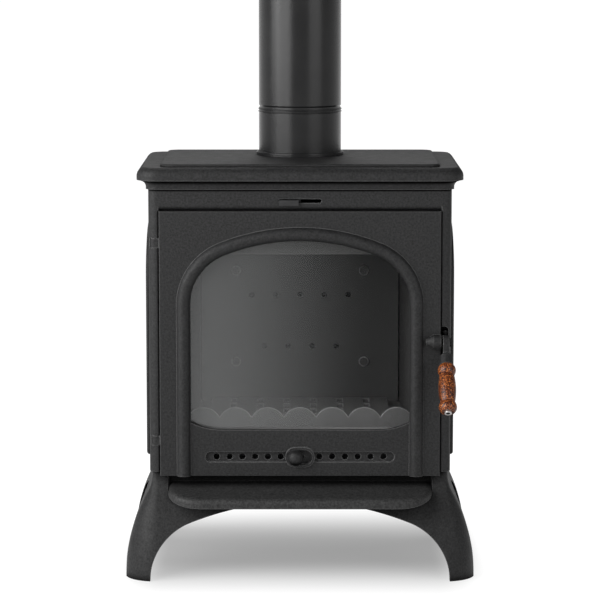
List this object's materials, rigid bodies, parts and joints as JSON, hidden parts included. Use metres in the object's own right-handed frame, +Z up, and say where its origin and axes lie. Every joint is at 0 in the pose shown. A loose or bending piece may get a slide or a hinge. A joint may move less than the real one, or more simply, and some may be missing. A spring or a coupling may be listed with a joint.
{
  "type": "cast iron stove",
  "caption": "Freestanding black cast iron room stove on flared legs, with an arched glass door, a lift latch with a wooden grip, sliding air controls and a flue pipe.",
  "frame": {"origin": "on the floor, under the middle of the overall box", "axes": "+X to the right seen from the front, +Y to the back, +Z up along the flue"},
  "size_m": [0.5192, 0.4149, 0.9415],
  "materials": {
    "black_cast_iron": "matte black stove paint over fine sand-cast texture",
    "black_flue_paint": "matte black",
    "plain_steel": "dull zinc",
    "pan_sheet": "matte dark grey",
    "stove_glass": "clear ceramic glass",
    "lacquered_wood": "red-brown lacquer",
    "seal_rope": "woven glass fibre"
  },
  "bodies": {
    "stove": {"base_plate": "black_cast_iron", "side_plate_left": "black_cast_iron", "side_plate_right": "black_cast_iron", "back_plate": "black_cast_iron", "front_frame": "black_cast_iron", "top_plate": "black_cast_iron", "leg_front_left": "black_cast_iron", "leg_front_right": "black_cast_iron", "leg_rear_left": "black_cast_iron", "leg_rear_right": "black_cast_iron", "ash_lip": "black_cast_iron", "grate_frame": "black_cast_iron", "grate": "black_cast_iron", "fireback": "black_cast_iron", "liner_left": "black_cast_iron", "liner_right": "black_cast_iron", "baffle_plate": "black_cast_iron", "log_guard": "black_cast_iron", "latch_catch": "black_cast_iron", "flue_collar": "black_flue_paint", "flue_stub": "black_flue_paint", "flue_pipe": "black_flue_paint", "leg_bolts": "plain_steel", "lip_bolts": "plain_steel", "tie_rods": "plain_steel", "hinge_pins": "plain_steel", "airwash_guides": "plain_steel", "fireback_bolts": "plain_steel", "ash_pan": "pan_sheet", "ash_pan_handle": "pan_sheet"},
    "door_leaf": {"door": "black_cast_iron", "door_glass": "stove_glass", "glass_gasket": "seal_rope", "door_rope_seal": "seal_rope", "glass_clips": "plain_steel", "glass_clip_screws": "plain_steel", "air_slide_guides": "plain_steel", "latch_pivot_pin": "plain_steel"},
    "latch": {"latch_lever": "black_cast_iron", "handle_grip": "lacquered_wood", "grip_end_nut": "plain_steel"},
    "primary_air": {"air_slide": "plain_steel", "air_knob": "black_cast_iron"},
    "airwash": {"airwash_slide": "plain_steel"}
  },
  "joints": [
    {"name": "door_hinge", "type": "hinge", "parent": "stove", "child": "door_leaf", "pos_m": [-0.2137, -0.1165, 0.355], "axis": [0, 0, -1], "range_deg": [0, 110]},
    {"name": "latch_turn", "type": "hinge", "parent": "door_leaf", "child": "latch", "pos_m": [0.21475, -0.129, 0.356], "axis": [-1, 0, 0], "range_deg": [0, 60]},
    {"name": "primary_air_slide", "type": "slide", "parent": "door_leaf", "child": "primary_air", "axis": [1, 0, 0], "range_m": [0, 0.0095]},
    {"name": "airwash_slide_move", "type": "slide", "parent": "stove", "child": "airwash", "axis": [1, 0, 0], "range_m": [0, 0.033]}
  ]
}
